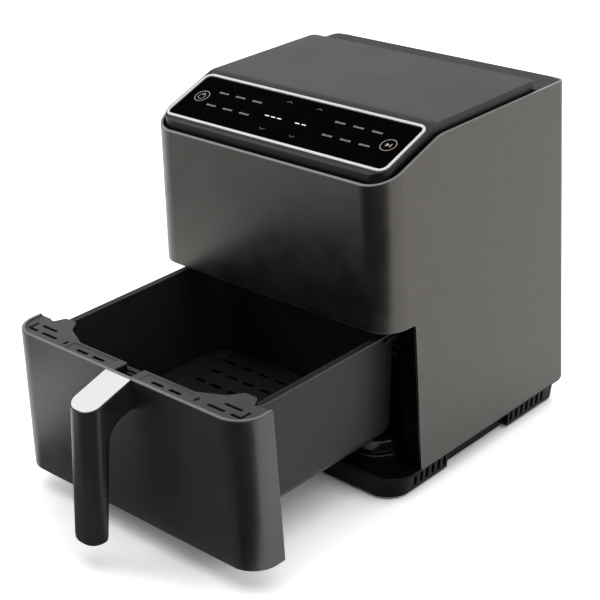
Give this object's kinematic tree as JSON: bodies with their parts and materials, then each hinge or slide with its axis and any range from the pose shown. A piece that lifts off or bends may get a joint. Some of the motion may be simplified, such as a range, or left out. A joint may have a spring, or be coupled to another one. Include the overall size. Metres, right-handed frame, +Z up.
{
  "type": "air fryer",
  "caption": "Boxy air fryer with a sloping touch panel, a pull-out basket drawer with a drop handle, a lift-out crisper plate, fan, heaters and a vented base.",
  "frame": {"origin": "on the floor, under the middle of the housing, at the middle pad", "axes": "+X to the appliance's own left-to-right seen from the front, +Y to the back, +Z up; the front faces -Y"},
  "size_m": [0.3, 0.5171, 0.34],
  "materials": {
    "shell_grey": "satin metallic dark grey coat on moulded plastic",
    "drawer_grey": "satin dark grey coat on moulded plastic",
    "cover_grey": "fine satin dark grey moulding",
    "rear_black": "fine-textured black moulding",
    "base_black": "satin black moulding",
    "frame_black": "satin black heat-resistant moulding",
    "trim_bright": "bright plated",
    "glass_black": "polished, black behind",
    "board_green": "solder-masked board",
    "foot_rubber": "matt",
    "gland_rubber": "satin",
    "liner_steel": "dull coated sheet",
    "duct_steel": "plain sheet",
    "floor_steel": "baked black enamel on sheet",
    "rail_black": "smooth heat-resistant moulding",
    "heater_sheath": "heat-darkened tube",
    "clip_steel": "plain strip",
    "dome_steel": "pressed bright sheet",
    "guard_steel": "plated wire",
    "fan_aluminium": "plain pressed sheet",
    "shaft_steel": "ground",
    "motor_steel": "plated can",
    "bearing_brass": "sintered",
    "bracket_steel": "plated sheet",
    "fuse_ceramic": "unglazed",
    "switch_plastic": "plain",
    "plunger_plastic": "plain",
    "bracket_black": "satin black moulding",
    "basket_coat": "non-stick coat",
    "handle_black": "satin, soft-edged",
    "handle_silver": "satin plated",
    "bolt_steel": "zinc plated",
    "crisper_coat": "non-stick coat",
    "bumper_silicone": "soft, matt"
  },
  "bodies": {
    "housing": {"outer_shell": "shell_grey", "top_cover": "cover_grey", "trim_frame": "trim_bright", "touch_glass": "glass_black", "control_board": "board_green", "rear_cover": "rear_black", "wall_stops": "rear_black", "cord_gland": "gland_rubber", "base_tray": "base_black", "bottom_plate": "base_black", "rubber_feet": "foot_rubber", "mouth_frame": "frame_black", "chamber_liner": "liner_steel", "exhaust_duct": "duct_steel", "right_rail": "rail_black", "left_rail": "rail_black", "chamber_floor": "floor_steel", "lower_heater": "heater_sheath", "dish_clips": "clip_steel", "upper_heater": "heater_sheath", "heater_clips": "clip_steel", "heater_dome": "dome_steel", "heater_guard": "guard_steel", "motor_can": "motor_steel", "lower_bearing": "bearing_brass", "upper_bearing": "bearing_brass", "motor_bracket": "bracket_steel", "thermal_fuse": "fuse_ceramic", "temperature_probe": "clip_steel", "power_board": "board_green", "drawer_switch": "switch_plastic"},
    "rotor": {"hot_fan": "fan_aluminium", "cooling_fan": "fan_aluminium", "motor_shaft": "shaft_steel", "fan_nut": "shaft_steel", "motor_rotor": "motor_steel"},
    "drawer": {"drawer_front": "drawer_grey", "drawer_bracket": "bracket_black", "basket": "basket_coat", "handle_grip": "handle_black", "handle_plate": "handle_silver", "handle_bolts": "bolt_steel"},
    "crisper": {"crisper_plate": "crisper_coat", "lift_arch": "crisper_coat", "plate_bumpers": "bumper_silicone"},
    "plunger": {"switch_plunger": "plunger_plastic"}
  },
  "joints": [
    {"name": "drawer_slide", "type": "slide", "parent": "housing", "child": "drawer", "axis": [0, -1, 0], "range_m": [-0.181, 0.06]},
    {"name": "fan_spin", "type": "hinge", "parent": "housing", "child": "rotor", "pos_m": [0, 0.01025, 0.25], "axis": [0, 0, 1], "continuous": true},
    {"name": "crisper_lift", "type": "slide", "parent": "drawer", "child": "crisper", "axis": [0, 0, 1], "range_m": [0, 0.06]},
    {"name": "plunger_press", "type": "slide", "parent": "housing", "child": "plunger", "axis": [0, 1, 0], "range_m": [0, 0.0025], "stiffness_N_per_m": 300}
  ]
}
